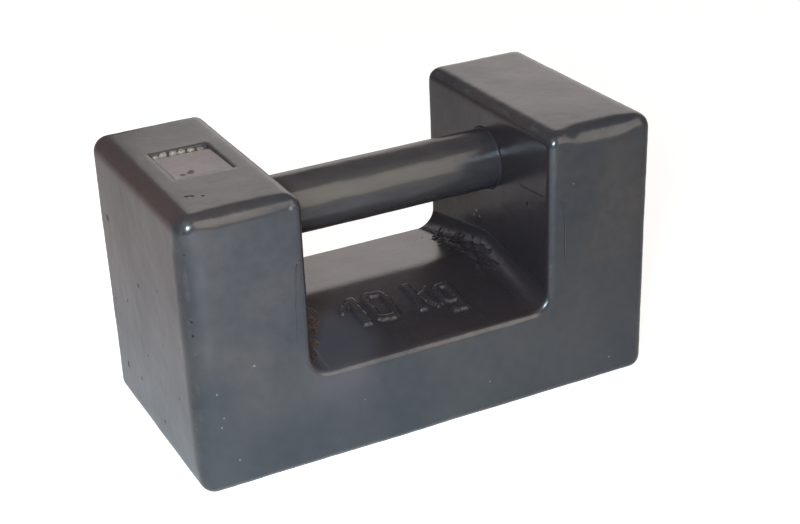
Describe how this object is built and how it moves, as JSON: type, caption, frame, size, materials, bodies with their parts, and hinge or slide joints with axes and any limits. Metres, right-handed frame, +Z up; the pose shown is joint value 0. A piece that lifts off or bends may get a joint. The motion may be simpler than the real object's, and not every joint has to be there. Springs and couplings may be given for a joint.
{
  "type": "calibration weight",
  "caption": "Rectangular bar calibration weight in painted cast iron, with a round handle across the notch between its uprights and a sealed adjusting cavity.",
  "frame": {"origin": "middle of the flat underside", "axes": "+X along the weight's length and along its handle, towards the upright without the pocket; +Y across its width, towards the side where the lead seal lies; +Z up"},
  "size_m": [0.191, 0.096, 0.109],
  "materials": {
    "iron_paint": "dark grey semi-gloss enamel brushed over cast iron, with small chips and pits",
    "bar_paint": "the same dark grey enamel over a smooth steel bar, handled smooth",
    "plate_paint": "thin, matt, warmer grey paint over a soft steel plate",
    "lead": "hammered lead under thin grey paint, rubbed light on the lumps",
    "lead_shot": "dull bare lead, hidden in the cavity"
  },
  "bodies": {
    "root": {"casting": "iron_paint", "handle_bar": "bar_paint", "closing_plate": "plate_paint", "lead_seal": "lead", "adjusting_shot": "lead_shot"}
  },
  "joints": []
}
